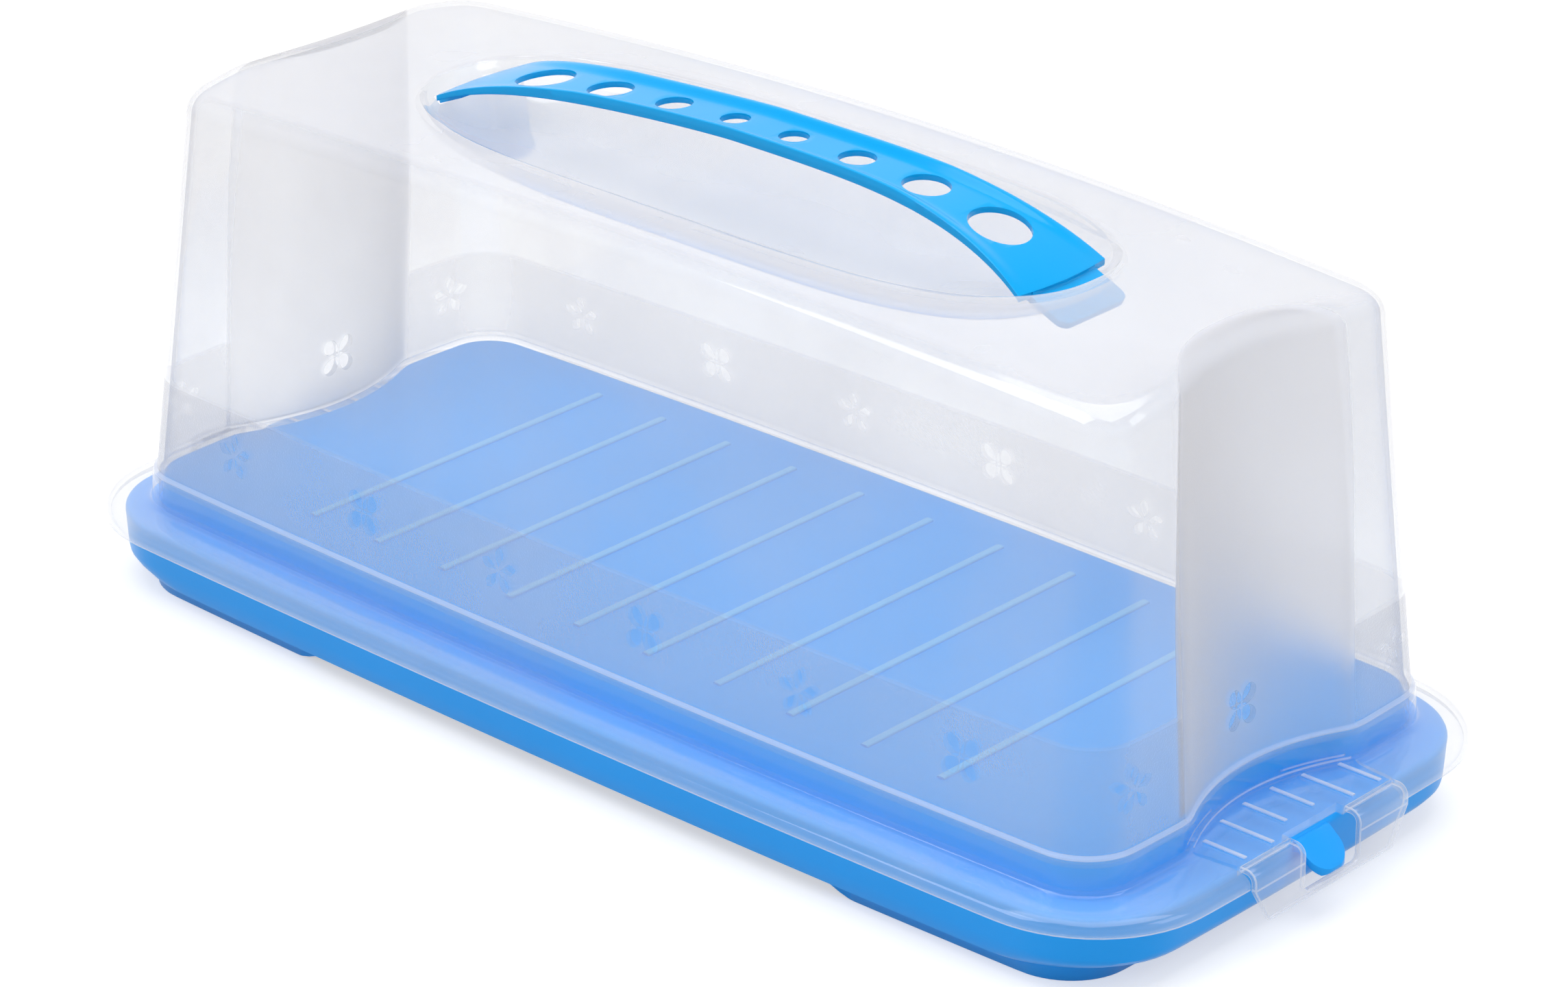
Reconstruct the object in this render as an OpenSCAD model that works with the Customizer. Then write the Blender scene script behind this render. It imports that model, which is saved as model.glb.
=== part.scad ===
// Cake carrier: translucent cover with end latches, blue base tray and carry handle.
// Units are millimetres, +Z up. The base stands on z = 0, the long side faces -Y.

/* [Cover size] */
// Length over the lip of the flange
lip_length = 380; // [300:1:420]
// Width over the lip of the flange
lip_width = 173.2; // [140:0.2:200]
// Height of the lip's lower edge above the table
lip_z = 19.5; // [14:0.5:24]
// Height of the cover from the lip's lower edge to the middle of the top
cover_height = 128.2; // [100:0.1:150]
// Width of the flange at the two ends, from the lip in to the wall
flange_end = 17.9; // [14:0.1:24]
// Width of the flange along the two long sides
flange_side = 14.8; // [12:0.1:20]
// How far each end wall leans in from the shoulder to the top
lean_end = 7.5; // [2:0.1:14]
// How far each long wall leans in from the shoulder to the top
lean_side = 11.8; // [2:0.1:18]
// Height of the shoulder above the lip's lower edge
shoulder_z = 14.1; // [10:0.1:20]
// Wall thickness
wall_t = 1.6; // [1.2:0.1:2.4]
// Outward bow of the long sides in plan
side_bow = 3.2; // [0:0.1:6]
// Fall of the top towards the middle of each end
crown_long = 1.3; // [0:0.1:4]
// Fall of the top towards the two long sides
crown_wide = 1.2; // [0:0.1:4]
// Further fall of the top towards the four corners
crown_corner = 5.4; // [0:0.1:8]
// Radius of the rounded top edge
top_edge_r = 6; // [3:0.5:10]

/* [End recess] */
// Half width of the hollow in each end wall
recess_half = 35; // [25:1:45]
// Depth of the hollow at the shoulder
recess_depth = 9.4; // [4:0.2:14]
// Depth of the hollow at the top
recess_depth_top = 6.5; // [4:0.1:16]

/* [Finger hollow] */
// Distance from the strap's end to the end of the hollow
hollow_past = 8; // [7.5:0.5:11]
// Half width of the hollow under the handle
hollow_half_w = 38; // [36:0.5:44]
// Depth of the hollow under the handle
hollow_depth = 16; // [8:1:24]

/* [Handle] */
// Length of the strap over its rounded ends
handle_length = 205; // [190:1:214]
// Width of the strap in the middle
handle_width = 20.5; // [18:0.1:28]
// Width of the strap at its ends
handle_end_width = 33.4; // [30:0.2:36]
// Height of the strap's middle above the middle of the top
handle_rise = 10.8; // [8:0.1:20]
// Depth of the strap's ends below the middle of the top
handle_sink = 3.3; // [2.8:0.1:3.6]
// Thickness of the strap
handle_t = 1.6; // [1.4:0.1:2.2]
// How far the strap's rounded ends bulge
handle_bulge = 1.5; // [0.5:0.1:4]
// Height of the long edge rims above the strap
handle_rim = 1.7; // [0.6:0.1:2.4]
// Length over which the rims fade out towards each end
rim_fade = 47; // [20:1:80]
// How far the foot at the +X end reaches past the strap's end
foot_reach = 10; // [8:0.5:12]
// How far the short foot at the -X end reaches past the strap's end
short_reach = 4; // [3:0.5:5]
// Half width of the two feet
foot_half = 12.5; // [9:0.5:13.5]
// Thickness of the feet
foot_t = 1.8; // [1.4:0.1:2]
// Slope of the feet, in degrees
foot_slope = 23; // [20:1:26]
// Gap between the cover and the feet
foot_gap = 0.4; // [0.2:0.05:0.6]
// How far the strap's -X end lies above its +X end
end_lift = 1.1; // [0:0.1:2]
// How far the row of holes lies from the middle towards +X
hole_shift = 2.3; // [0:0.1:4]
// Spacing from the middle to the first hole, and its diameter
hole_1 = 10.15; // [9:0.05:12]
hole_1_d = 8.1; // [6:0.1:9]
// Distance from the middle to the second hole, and its diameter
hole_2 = 31.7; // [28:0.1:34]
hole_2_d = 10; // [8:0.1:11]
// Distance from the middle to the third hole, and its diameter
hole_3 = 54.7; // [50:0.1:58]
hole_3_d = 12.7; // [10:0.1:14]
// Distance from the middle to the fourth hole, and its diameter
hole_4 = 78.7; // [74:0.1:82]
hole_4_d = 16.4; // [13:0.1:18]

/* [Base] */
// Distance from the lip's outer face in to the tray's rim
base_inset = 6; // [3:0.5:8]
// Height of the raised floor above the lip's lower edge
floor_z = 12.2; // [8:0.1:13]
// Height of the ledge around the raised floor
ledge_z = 2.1; // [1:0.1:2.2]
// Height of the foot
foot_h = 4.5; // [2:0.5:6]
// How much further in the foot stands at the two ends than along the sides
end_lean = 7; // [0:0.1:10]
// Height above the table at which the walls turn in towards the foot
turn_h = 9; // [8:0.5:12]
// Half length of the arch between the feet
arch_half = 96; // [60:1:120]
// Number of ribs across the raised floor
rib_count = 10; // [4:1:14]
// Spacing of the ribs
rib_pitch = 25; // [15:1:30]
// Width of each rib
rib_w = 2.4; // [1:0.1:4]

/* [Latches] */
// Half width of the latch plate at its fold
latch_half = 31; // [24:0.5:36]
// Distance from the lip's outer face in to the fold line
fold_inset = 4.5; // [3.5:0.1:5]
// How far the latch stands out past the lip
latch_proud = 1.2; // [0.8:0.1:2]
// Radius of the latch's bend
bend_r = 3.4; // [2.6:0.1:4]
// Distance from the fold line in to the window
window_in = 2; // [1:0.1:4]
// How far the catch tongue stands out past the tray's rim
tongue_out = 8.7; // [7.5:0.1:9]
// Thickness of the catch tongue
tongue_t = 2; // [1.5:0.1:2.5]
// Level of the latch plate's upper face above the lip's lower edge
plate_z = 5; // [4.6:0.1:6]
// Half width of the latch window
window_half = 11; // [8:0.5:14]
// Level of the window's lower edge
window_low = -8.2; // [-9:0.1:-7.5]
// Level of the latch's lower edge
skirt_low = -10.6; // [-12:0.1:-10]
// Half width of the catch tongue
tongue_half = 6.8; // [5:0.1:9]
// Gap around each latch
latch_gap = 0.35; // [0.3:0.05:0.6]

/* [Hidden] */
K1 = 6;
K2 = 4;
K3 = 8;
K4 = 9;
LA = lip_length / 2;
LB = lip_width / 2;
WA = LA - flange_end;
WB = LB - flange_side;
TA = WA - lean_end;
TB = WB - lean_side;
BA = LA - base_inset;
BB = LB - base_inset;
fold_x = LA - fold_inset;
skirt_x = LA + latch_proud;
HL = handle_length / 2;
hollow_half_l = HL + hollow_past;
handle_z = cover_height + handle_rise;
handle_end_z = cover_height - handle_sink;
// Lower edge of the strap's ends, where the two feet start
foot_z = handle_end_z - handle_t;
short_z = foot_z + end_lift;
// Form of the finger hollow: how square its ends, its sides and its walls are
END_ROUND = 3.6;
SIDE_ROUND = 2.4;
WALL_STEEP = 0.5;
// How far the feet's upper face is sunk into the strap
FOOT_IN = 0.15;
CLEAR = "#E8EEF6";
BLUE = "#1E78D8";
HANDLE_BLUE = "#1F9CF0";

// One quarter of a level: from the middle of the +X end round to the middle of the +Y side.
function quarter(a, b, r, d, w) = concat(
    [for (i = [0 : K1 - 1]) [a - d * (1 - pow(i / K1, 2)), w * i / K1]],
    [for (i = [0 : K2 - 1]) [a, w + (b - r - w) * i / K2]],
    [for (i = [0 : K3]) [a - r + r * cos(90 * i / K3), b - r + r * sin(90 * i / K3)]],
    [for (i = [1 : K4]) [(a - r) * (1 - i / K4), b]]
);
function bow(q, a, b) = [
    q[0] * (1 - side_bow * 0.46 / a * pow(q[1] / b, 2)),
    q[1] * (1 - side_bow / b * pow(q[0] / a, 2))
];
// The whole level, counter-clockwise, as plan points.
function level(a, b, r, d) =
    let (q = quarter(a, b, r, d, recess_half), m = len(q))
    [for (p = concat(
        q,
        [for (i = [m - 2 : -1 : 0]) [-q[i][0], q[i][1]]],
        [for (i = [1 : m - 1]) [-q[i][0], -q[i][1]]],
        [for (i = [m - 2 : -1 : 1]) [q[i][0], -q[i][1]]]
    )) bow(p, a, b)];
function flat(a, b, r, d, z) = [for (p = level(a, b, r, d)) [p[0], p[1], z + lip_z]];
// Height of the crowned top over a plan point.
function crown(p) =
    let (u = pow(p[0] / TA, 2), v = pow(p[1] / TB, 2))
    cover_height - crown_long * u - crown_wide * v - crown_corner * u * v;
// A wall level that meets the crowned top: t = 0 at the shoulder, 1 where the top edge starts.
function wall(a, b, r, d, low, drop) = [for (p = level(a, b, r, d)) [p[0], p[1], crown(p) - drop + lip_z]];
// The finger hollow's depth; the inner face (o > 0) has it wider, so that steep walls keep their thickness.
function hollow_l(o) = hollow_half_l + 0.75 * o;
function hollow_w(o) = hollow_half_w + 0.75 * o;
function hollow(p, o) = hollow_depth * pow(max(0, 1 - pow(abs(p[0]) / hollow_l(o), END_ROUND)
    - pow(abs(p[1]) / hollow_w(o), SIDE_ROUND)), WALL_STEEP);
// Distance factor that brings a plan point onto the edge of the hollow.
function on_edge(x, y, lo, hi, n) = n == 0 ? (lo + hi) / 2 :
    let (m = (lo + hi) / 2, f = pow(abs(m * x), END_ROUND) + pow(abs(m * y), SIDE_ROUND))
    f > 1 ? on_edge(x, y, lo, m, n - 1) : on_edge(x, y, m, hi, n - 1);
function rim_points(a, b, r, d, o) = [for (p = level(a, b, r, d))
    let (x = p[0] / a, y = p[1] / b, k = on_edge(x, y, 0.5, 3, 30))
    [k * x * hollow_l(o), k * y * hollow_w(o)]];
function mix(p, q, t) = [p[0] + (q[0] - p[0]) * t, p[1] + (q[1] - p[1]) * t];

// Rings joined into one closed skin, with a fan of triangles at each end.
module skin(rings, first, last) {
    n = len(rings[0]);
    m = len(rings);
    pts = concat([first], [for (g = rings) each g], [last]);
    polyhedron(points = pts, faces = concat(
        [for (i = [0 : n - 1]) [0, 1 + i, 1 + (i + 1) % n]],
        [for (k = [0 : m - 2], i = [0 : n - 1])
            [1 + k * n + i, 1 + (k + 1) * n + i, 1 + (k + 1) * n + (i + 1) % n]],
        [for (k = [0 : m - 2], i = [0 : n - 1])
            [1 + k * n + i, 1 + (k + 1) * n + (i + 1) % n, 1 + k * n + (i + 1) % n]],
        [for (i = [0 : n - 1]) [1 + (m - 1) * n + i, 1 + m * n, 1 + (m - 1) * n + (i + 1) % n]]
    ), convexity = 8);
}

// Rounded top edge, top and finger hollow, for the outer face (o = 0) or the inner face.
function top_rings(o) =
    let (
        a = TA - o,
        b = TB - o,
        r = 11 - o,
        e = top_edge_r - o,
        outer = level(a - e, b - e, r - e * 0.7, recess_depth_top),
        rim = rim_points(a - e, b - e, r - e * 0.7, recess_depth_top, o)
    )
    concat(
        [for (f = [0 : 30 : 60])
            let (k = e * (1 - cos(f)))
            wall(a - k, b - k, r - k * 0.7, recess_depth_top, 0, o + e - e * sin(f))],
        [[for (p = outer) [p[0], p[1], crown(p) - o + lip_z]]],
        [[for (i = [0 : len(outer) - 1]) let (p = mix(outer[i], rim[i], 0.5))
            [p[0], p[1], crown(p) - o + lip_z]]],
        [for (s = [1, 0.985, 0.95, 0.88, 0.76, 0.58, 0.3])
            [for (q = rim) let (p = [q[0] * s, q[1] * s])
                [p[0], p[1], crown(p) - hollow(p, o) - o + lip_z]]]
    );

module cover_body() {
    t = wall_t;
    out = concat(
        [flat(LA, LB, 34.6, 0, 0)],
        [flat(LA - 0.2, LB - 0.2, 34.4, 0, 1.6)],
        [flat(LA - 1.3, LB - 1.3, 33.3, 0, 3)],
        [flat(LA - 3.3, LB - 3.3, 31.3, 0, 3.8)],
        [flat(LA - 5.8, LB - 5.8, 28.8, 0, 4.1)],
        [flat(WA + 2.4, WB + 2.4, 17, recess_depth, 4.2)],
        [flat(WA + 1.7, WB + 1.7, 16.2, recess_depth, 4.9)],
        [flat(WA + 1.1, WB + 1.1, 15.4, recess_depth, shoulder_z - 0.8)],
        [flat(WA, WB, 14.8, recess_depth, shoulder_z)],
        top_rings(0)
    );
    ins = concat(
        [flat(LA - t, LB - t, 33, 0, 0)],
        [flat(LA - t - 0.2, LB - t - 0.2, 32.8, 0, 1)],
        [flat(LA - t - 1.5, LB - t - 1.5, 31.5, 0, 1.9)],
        [flat(LA - t - 4, LB - t - 4, 29, 0, 2.5)],
        [flat(WA + 0.9, WB + 0.9, 15.6, recess_depth, 2.6)],
        [flat(WA + 1.1 - t, WB + 1.1 - t, 13.8, recess_depth, shoulder_z - 1.6)],
        [flat(WA - t, WB - t, 13.2, recess_depth, shoulder_z - 0.6)],
        top_rings(t)
    );
    rings = concat([for (i = [len(ins) - 1 : -1 : 0]) ins[i]], out);
    skin(rings, [0, 0, cover_height - hollow_depth - t + lip_z], [0, 0, cover_height - hollow_depth + lip_z]);
}

// Plan of the raised latch plate, from the neck out to the fold.
module plate_plan(grow) {
    polygon(concat(
        [for (i = [-6 : 6]) [WA + 0.9 - recess_depth * (1 - pow(i / 6, 2)), recess_half * 0.94 * i / 6]],
        [[fold_x - 8, latch_half + grow + 0.8]],
        [[fold_x, latch_half + grow]],
        [[fold_x, -latch_half - grow]],
        [[fold_x - 8, -latch_half - grow - 0.8]]
    ));
}

module window_cut(low) {
    translate([fold_x - window_in, -window_half, lip_z + low])
        cube([20, 2 * window_half, 20 - low]);
}

module latch_rib(y, x0, x1) {
    translate([x0, y - 0.6, lip_z + plate_z - 0.3])
        cube([x1 - x0, 1.2, 1]);
}

module plate_right() {
    difference() {
        union() {
            translate([0, 0, lip_z + 3.1])
                linear_extrude(plate_z - 3.1)
                    plate_plan(0.3);
            for (s = [-1, 1]) {
                latch_rib(s * 5.5, WA - 4.6, fold_x - 5);
                latch_rib(s * 16.4, WA - 3.1, fold_x - 0.7);
                latch_rib(s * 27.3, WA + 0.1, fold_x - 0.7);
            }
        }
        window_cut(-2);
    }
}

// Slit in the hollow's +X end wall for one of the handle's feet.
module foot_slit(reach, low) {
    g = foot_gap;
    translate([HL, 0, lip_z + low])
        rotate([0, foot_slope, 0])
            translate([-3, -foot_half - g, FOOT_IN - foot_t - g])
                cube([reach + 7, 2 * (foot_half + g), foot_t + 2 * g]);
}

module cover_shell() {
    color(CLEAR)
    union() {
        difference() {
            cover_body();
            for (s = [0, 180])
                rotate([0, 0, s]) {
                    translate([fold_x, -latch_half - latch_gap, lip_z - 1])
                        cube([fold_inset + 6, 2 * (latch_half + latch_gap), 12]);
                    window_cut(-2);
                }
            foot_slit(foot_reach, foot_z);
            rotate([0, 0, 180])
                foot_slit(short_reach, short_z);
        }
        plate_right();
        rotate([0, 0, 180])
            plate_right();
    }
}

// Section of the latch from the fold, over the bend and down to the lower edge.
module latch_section() {
    t = wall_t;
    b = bend_r;
    xo = skirt_x;
    x0 = fold_x + latch_gap;
    polygon(concat(
        [[x0, plate_z]],
        [for (i = [0 : 6]) [xo - b + b * sin(15 * i), plate_z - b + b * cos(15 * i)]],
        [[xo + 0.2, skirt_low + 0.5]],
        [[xo - 0.3, skirt_low]],
        [[xo - t + 0.2, skirt_low]],
        [for (i = [6 : -1 : 0]) [xo - b + (b - t) * sin(15 * i), plate_z - b + (b - t) * cos(15 * i)]],
        [[x0, plate_z - t]]
    ));
}

module latch_body() {
    difference() {
        translate([0, latch_half, lip_z])
            rotate([90, 0, 0])
                linear_extrude(2 * latch_half)
                    latch_section();
        // sloping sides of the hanging part
        for (s = [-1, 1])
            scale([1, s, 1])
                translate([fold_x - 5, 0, lip_z])
                    rotate([90, 0, 90])
                        linear_extrude(20)
                            polygon([[latch_half + 0.01, -0.5], [latch_half - 6.2, skirt_low - 0.01],
                                [latch_half - 6.2, skirt_low - 3], [latch_half + 5, skirt_low - 3],
                                [latch_half + 5, -0.5]]);
        // window with rounded corners
        translate([fold_x - 10, 0, lip_z])
            rotate([90, 0, 90])
                linear_extrude(30)
                    polygon([[-window_half, 9], [-window_half, window_low + 1.6],
                        [-window_half + 0.6, window_low + 0.6], [-window_half + 1.6, window_low],
                        [window_half - 1.6, window_low], [window_half - 0.6, window_low + 0.6],
                        [window_half, window_low + 1.6], [window_half, 9]]);
    }
}

module latch_right() {
    color(CLEAR)
    latch_body();
}

module latch_left() {
    color(CLEAR)
    rotate([0, 0, 180])
        latch_body();
}

// Strap of the handle: sections across it, from one end to the other.
function strap_w(x) = handle_width / 2 + (handle_end_width - handle_width) / 2 * pow(abs(x) / HL, 3);
// The bow is full on the +X side and flatter, with a lower shoulder, on the -X side.
function strap_z(x) =
    let (t = abs(x) / HL, fall = handle_z - handle_end_z)
    x > 0 ? handle_z - fall * pow(t, 3.9)
        : handle_z - (fall - end_lift) * (0.6 * pow(t, 1.3) + 0.4 * pow(t, 6));
function strap_fade(x) = min(1, max(0.02, (HL - abs(x)) / rim_fade));
function strap_section(x) =
    let (
        w = strap_w(x),
        h = handle_rim * strap_fade(x),
        k = h - 0.3 * strap_fade(x),
        t = handle_t
    )
    [[w, -t], [w, k], [w - 0.4, h], [w - 1.2, h], [w - 4.4, 0], [w / 2, 0], [0, 0], [-w / 2, 0],
        [-w + 4.4, 0], [-w + 1.2, h], [-w + 0.4, h], [-w, k], [-w, -t], [0, -t]];
function strap_ring(x) = [for (q = strap_section(x))
    [x * (1 - handle_bulge / HL * pow(q[0] * 2 / handle_end_width, 2) * pow(abs(x) / HL, 6)),
        q[0], q[1] + strap_z(x) + lip_z]];

module handle_strap() {
    e = HL;
    xs = concat([-e], [for (i = [-15 : 15]) e * 0.99 * sin(6 * i)], [e]);
    rings = [for (x = xs) strap_ring(x)];
    z = lip_z - handle_t / 2;
    skin(rings, [-e, 0, z + strap_z(-e)], [e, 0, z + strap_z(e)]);
}

// Sloping foot at the +X end, with the root that joins it to the strap.
module handle_foot(reach, low) {
    w = foot_half;
    l = reach / cos(foot_slope);
    translate([HL, 0, lip_z + low]) {
        rotate([0, foot_slope, 0])
            translate([0, 0, FOOT_IN - foot_t])
                linear_extrude(foot_t)
                    polygon([[-6.5, -w], [l - 3, -w], [l - 1.2, 0.8 - w], [l - 0.4, 2.6 - w], [l, 0],
                        [l - 0.4, w - 2.6], [l - 1.2, w - 0.8], [l - 3, w], [-6.5, w]]);
        translate([0, w - 0.5, 0])
            rotate([90, 0, 0])
                linear_extrude(2 * w - 1)
                    polygon([[-6.2, 1.2], [-0.7, -1.1], [-0.7, 1.4], [-6.2, 3.4]]);
    }
}

module handle() {
    color(HANDLE_BLUE)
    difference() {
        union() {
            handle_strap();
            handle_foot(foot_reach, foot_z);
            rotate([0, 0, 180])
                handle_foot(short_reach, short_z);
        }
        for (s = [-1, 1], h = [[hole_1, hole_1_d], [hole_2, hole_2_d], [hole_3, hole_3_d], [hole_4, hole_4_d]])
            translate([hole_shift + s * h[0], 0, lip_z + foot_z + 1])
                cylinder(h = handle_z, d = h[1], $fn = 48);
    }
}

module tray_body() {
    d = recess_depth - 0.6;
    e = end_lean;
    up = [
        flat(BA - 5.4 - e, BB - 5.4, 17.5, 0, -lip_z),
        flat(BA - 4.9 - e, BB - 4.9, 18, 0, -lip_z + foot_h),
        flat(BA - 2.4 - e, BB - 2, 28, 0, -lip_z + foot_h),
        flat(BA - 1.6 - e * 0.4, BB - 1.5, 29.5, 0, -lip_z + foot_h + 1.2),
        flat(BA - 0.2, BB - 0.8, 26.8, 0, -lip_z + turn_h),
        flat(BA, BB, 27.6, 0, 0.5),
        flat(BA - 0.4, BB - 0.4, 27.2, 0, ledge_z - 0.4),
        flat(BA - 1.4, BB - 1.4, 26.2, 0, ledge_z),
        flat(WA - 0.6, WB - 0.6, 13.4, d, ledge_z),
        flat(WA - 1.2, WB - 1.2, 13, d, ledge_z + 0.7),
        flat(WA - 1.8, WB - 1.8, 12.6, d, floor_z - 1.2),
        flat(WA - 2.2, WB - 2.2, 12.2, d, floor_z - 0.4),
        flat(WA - 3, WB - 3, 11.6, d, floor_z)
    ];
    down = [
        flat(BA - 7 - e, BB - 7, 16, 0, -lip_z),
        flat(BA - 6.6 - e, BB - 6.6, 16.4, 0, -lip_z + foot_h + 1.5),
        flat(BA - 2.8 - e * 0.4, BB - 3.1, 27.6, 0, -lip_z + foot_h + 2.7),
        flat(BA - 1.9, BB - 2.4, 25.2, 0, -lip_z + turn_h + 0.8),
        flat(BA - 1.8, BB - 1.8, 25.8, 0, 0.1),
        flat(WA - 3, WB - 3, 11.6, d, 0.1),
        flat(WA - 3.8, WB - 3.8, 11, d, floor_z - 2)
    ];
    rings = concat([for (i = [len(down) - 1 : -1 : 0]) down[i]], up);
    skin(rings, [0, 0, floor_z - 2 + lip_z], [0, 0, floor_z + lip_z]);
}

// Catch tongue on the +X end: slopes down and outward, rounded at its tip.
module tongue() {
    o = tongue_out;
    h = tongue_half;
    intersection() {
        translate([BA, h, lip_z])
            rotate([90, 0, 0])
                linear_extrude(2 * h)
                    polygon([[-1.6, 1.1], [0, 1.5], [1.2, 1.1], [o - 0.1, -5.2], [o - 0.5, -6.1],
                        [o - 1.3, -6.3], [1.6, 0.9 - tongue_t], [-1.6, 0.2 - tongue_t]]);
        translate([BA, 0, lip_z - 10])
            linear_extrude(16)
                polygon(concat(
                    [[-4, -h]],
                    [for (i = [0 : 8]) [4 + (o - 4) * sin(11.25 * i), -h + 5.4 - 5.4 * cos(11.25 * i)]],
                    [for (i = [8 : -1 : 0]) [4 + (o - 4) * sin(11.25 * i), h - 5.4 + 5.4 * cos(11.25 * i)]],
                    [[-4, h]]
                ));
    }
}

module base_tray() {
    color(BLUE)
    union() {
        difference() {
            tray_body();
            // arch between the feet on the two long sides
            translate([0, LB + 20, 0])
                rotate([90, 0, 0])
                    linear_extrude(2 * LB + 40)
                        polygon([[-arch_half - 8, -1], [-arch_half, 1.6], [-arch_half + 10, foot_h - 0.2],
                            [arch_half - 10, foot_h - 0.2], [arch_half, 1.6], [arch_half + 8, -1]]);
        }
        for (i = [0 : rib_count - 1])
            translate([(i - (rib_count - 1) / 2) * rib_pitch - rib_w / 2, -56, lip_z + floor_z - 0.4])
                cube([rib_w, 112, 1]);
        tongue();
        rotate([0, 0, 180])
            tongue();
    }
}

cover_shell();
latch_right();
latch_left();
handle();
base_tray();
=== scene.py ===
"""Looks of the cake carrier: a translucent cover with end latches, a blue tray and a bowed handle."""

import math

import bmesh
import bpy
import numpy as np
from mathutils import Matrix, Vector


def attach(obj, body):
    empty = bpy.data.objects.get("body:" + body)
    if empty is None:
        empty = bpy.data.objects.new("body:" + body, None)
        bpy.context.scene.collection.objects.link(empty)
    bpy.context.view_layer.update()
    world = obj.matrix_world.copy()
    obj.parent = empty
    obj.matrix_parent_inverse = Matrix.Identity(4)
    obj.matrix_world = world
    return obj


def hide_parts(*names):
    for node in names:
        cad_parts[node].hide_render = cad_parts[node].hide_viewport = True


bl_info = {
    "name": "Cake Carrier",
    "version": (1, 0, 0),
    "blender": (4, 5, 0),
    "location": "View3D > Sidebar > Carrier",
    "description": "Builds the dressed pieces of a long cake carrier around its packed frame",
    "category": "Object",
}

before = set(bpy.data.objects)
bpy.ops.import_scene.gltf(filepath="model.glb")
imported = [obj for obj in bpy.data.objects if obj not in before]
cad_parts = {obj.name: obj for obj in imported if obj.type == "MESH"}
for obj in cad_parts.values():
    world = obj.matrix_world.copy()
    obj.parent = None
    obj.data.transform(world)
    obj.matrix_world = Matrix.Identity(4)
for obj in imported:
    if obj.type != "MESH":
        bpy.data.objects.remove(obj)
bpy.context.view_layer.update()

MM = 0.001
IMAGE_SIZE = (2288, 1440)
# Form of the finger hollow: how square its ends, its sides and its walls are
END_ROUND, SIDE_ROUND, WALL_STEEP = 3.6, 2.4, 0.5
# Slope of the handle's feet, and how far their upper face is sunk into the strap, in millimetres
FOOT_SLOPE, FOOT_IN = math.radians(23), 0.15
# How far a cutting block reaches past what it cuts, in millimetres
PAST = 20
# Distance of each pair of handle holes from the middle, and diameter, in millimetres
HOLES = ((10.15, 8.1), (31.7, 10), (54.7, 12.7), (78.7, 16.4))
# Each pair of latch ribs: distance from the middle, start past the wall, end before the fold, in millimetres
LATCH_RIBS = ((5.5, -4.6, 5), (16.4, -3.1, 0.7), (27.3, 0.1, 0.7))
# Refractive index of the plastics, and the lower one that softens the view through the frosted panels
PLASTIC_IOR, PANEL_IOR = 1.49, 1.15


def size(name, default, text, low=0.0):
    """A length in millimetres that a user may change."""
    return bpy.props.FloatProperty(name=name, default=default, min=low, description=text)


def colour(name, default, text):
    return bpy.props.FloatVectorProperty(
        name=name, subtype="COLOR", size=3, min=0.0, max=1.0, default=srgb(default), description=text)


def share(name, default, text):
    return bpy.props.FloatProperty(
        name=name, default=default, min=0.0, max=1.0, subtype="FACTOR", description=text)


def srgb(code):
    """Linear values of a colour written as six hex digits."""
    out = []
    for i in (0, 2, 4):
        v = int(code[i:i + 2], 16) / 255
        out.append(v / 12.92 if v <= 0.04045 else ((v + 0.055) / 1.055) ** 2.4)
    return tuple(out)


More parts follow.
